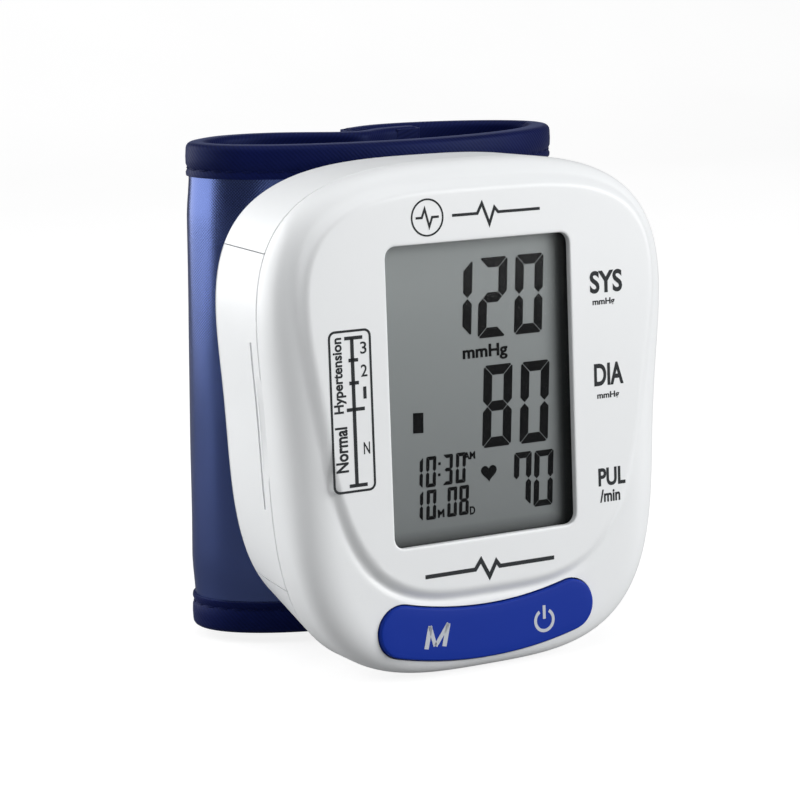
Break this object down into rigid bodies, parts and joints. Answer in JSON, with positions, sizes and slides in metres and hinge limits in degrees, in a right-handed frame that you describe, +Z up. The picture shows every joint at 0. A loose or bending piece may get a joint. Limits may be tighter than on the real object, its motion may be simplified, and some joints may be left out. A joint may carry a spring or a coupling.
{
  "type": "wrist blood pressure monitor",
  "caption": "Wrist blood pressure monitor: rounded white case with a large display and a blue two-button strip, on a preformed navy cuff closed by hook and loop.",
  "frame": {"origin": "centre of the overall box, at the foot of the case", "axes": "+Z up along the case and the cuff's axis, display facing -Y, +X to the display's right"},
  "size_m": [0.0667, 0.0516, 0.0741],
  "materials": {
    "case_white": "satin moulded ABS",
    "button_blue": "satin moulded ABS",
    "clear_lens": "polished clear acrylic",
    "lcd_grey": "reflective liquid crystal glass",
    "inner_plastic": "natural moulded",
    "board_green": "solder masked glass epoxy",
    "black_parts": "moulded",
    "bright_steel": "plated",
    "foam_grey": "foam",
    "grey_rubber": "smooth",
    "hose_rubber": "silicone",
    "cell_jacket": "plain printed jacket",
    "wire_red": "insulated wire",
    "cuff_navy": "coated nylon, satin",
    "cuff_lining": "brushed nylon",
    "cuff_binding": "folded hem tape",
    "cuff_foam": "spacer foam",
    "fastener_pile": "hook and loop"
  },
  "bodies": {
    "case": {"front_cover": "case_white", "rear_case": "case_white", "lcd_lens": "clear_lens", "lcd_panel": "lcd_grey", "lcd_frame": "inner_plastic", "zebra_connector": "foam_grey", "main_board": "board_green", "mcu_chip": "black_parts", "crystal": "bright_steel", "buzzer": "black_parts", "memory_switch": "bright_steel", "power_switch": "bright_steel", "pressure_sensor": "inner_plastic", "pump_motor": "bright_steel", "pump_head": "inner_plastic", "pump_diaphragm": "grey_rubber", "valve_body": "bright_steel", "air_manifold": "inner_plastic", "pump_tube": "hose_rubber", "sensor_tube": "hose_rubber", "air_nipple": "inner_plastic", "battery_outer": "cell_jacket", "battery_inner": "cell_jacket", "battery_springs": "bright_steel", "battery_contacts": "bright_steel", "case_screws": "bright_steel", "board_screws": "bright_steel", "motor_leads": "wire_red", "battery_leads": "wire_red", "cuff_saddle": "case_white", "clamp_screws": "bright_steel", "cuff_plate": "black_parts", "bladder": "grey_rubber", "cuff_cover": "cuff_navy", "cuff_lining": "cuff_lining", "cuff_hems": "cuff_binding"},
    "button": {"button_strip": "button_blue"},
    "door": {"battery_door": "case_white", "door_pad": "foam_grey"},
    "rotor": {"motor_shaft": "bright_steel", "pump_eccentric": "inner_plastic"},
    "plunger": {"valve_plunger": "bright_steel"},
    "wing": {"wing_cover": "cuff_navy", "wing_pad": "cuff_foam", "wing_lining": "cuff_lining", "wing_hems": "cuff_binding", "loop_patch": "fastener_pile"},
    "flap": {"flap_cover": "cuff_navy", "flap_pad": "cuff_foam", "flap_lining": "cuff_lining", "flap_hems": "cuff_binding", "hook_patch": "fastener_pile"}
  },
  "joints": [
    {"name": "button_rocker", "type": "hinge", "parent": "case", "child": "button", "pos_m": [0, -0.02186, 0.00634], "axis": [0, 0.0628, 0.998], "range_deg": [-1.8, 1.8], "stiffness_Nm_per_rad": 0.9},
    {"name": "battery_door_pull", "type": "slide", "parent": "case", "child": "door", "axis": [-1, 0, 0], "range_m": [0, 0.014]},
    {"name": "flap_hinge", "type": "hinge", "parent": "case", "child": "flap", "pos_m": [0.0334, 0.01318, 0.039], "axis": [0, 0, 1], "range_deg": [-100, 0], "stiffness_Nm_per_rad": 0.02},
    {"name": "wing_hinge", "type": "hinge", "parent": "case", "child": "wing", "pos_m": [-0.0284, 0.01318, 0.039], "axis": [0, 0, 1], "range_deg": [0, 25]},
    {"name": "pump_spin", "type": "hinge", "parent": "case", "child": "rotor", "pos_m": [0.02, -0.00962, 0.04], "axis": [0, 0, 1], "continuous": true},
    {"name": "valve_stroke", "type": "slide", "parent": "case", "child": "plunger", "axis": [0, 0, -1], "range_m": [0, 0.0006], "stiffness_N_per_m": 60}
  ],
  "couplings": [
    {"joint": "wing_hinge", "follows": "flap_hinge", "ratio": -0.25}
  ]
}
